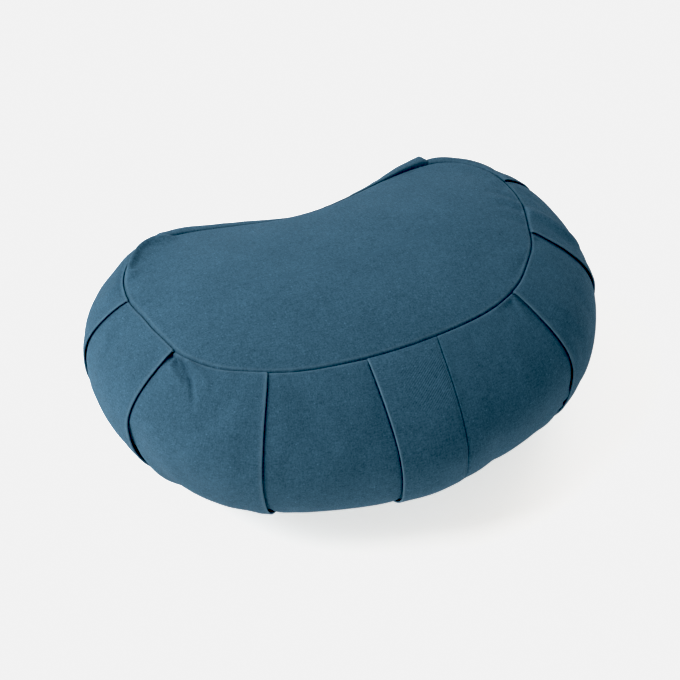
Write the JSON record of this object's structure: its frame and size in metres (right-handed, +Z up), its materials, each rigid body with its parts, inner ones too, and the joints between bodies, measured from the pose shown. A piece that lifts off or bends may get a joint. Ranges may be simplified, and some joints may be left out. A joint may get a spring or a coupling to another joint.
{
  "type": "crescent meditation cushion",
  "caption": "Crescent-shaped floor cushion with a pleated side, a crowned top panel and an upright flap over the front.",
  "frame": {"origin": "middle of the footprint's bounding box, on the floor", "axes": "+X along the crescent's length, to the right seen from the front; -Y the round front with the flap, +Y the hollow back; +Z up"},
  "size_m": [0.45, 0.3282, 0.1645],
  "materials": {
    "side_cotton": "matt woven cotton, petrol blue",
    "panel_cotton": "matt woven cotton, petrol blue",
    "flap_cotton": "matt woven cotton, petrol blue, fine diagonal weave"
  },
  "bodies": {
    "root": {"pleated_side": "side_cotton", "top_panel": "panel_cotton", "bottom_panel": "panel_cotton", "front_flap": "flap_cotton"}
  },
  "joints": []
}
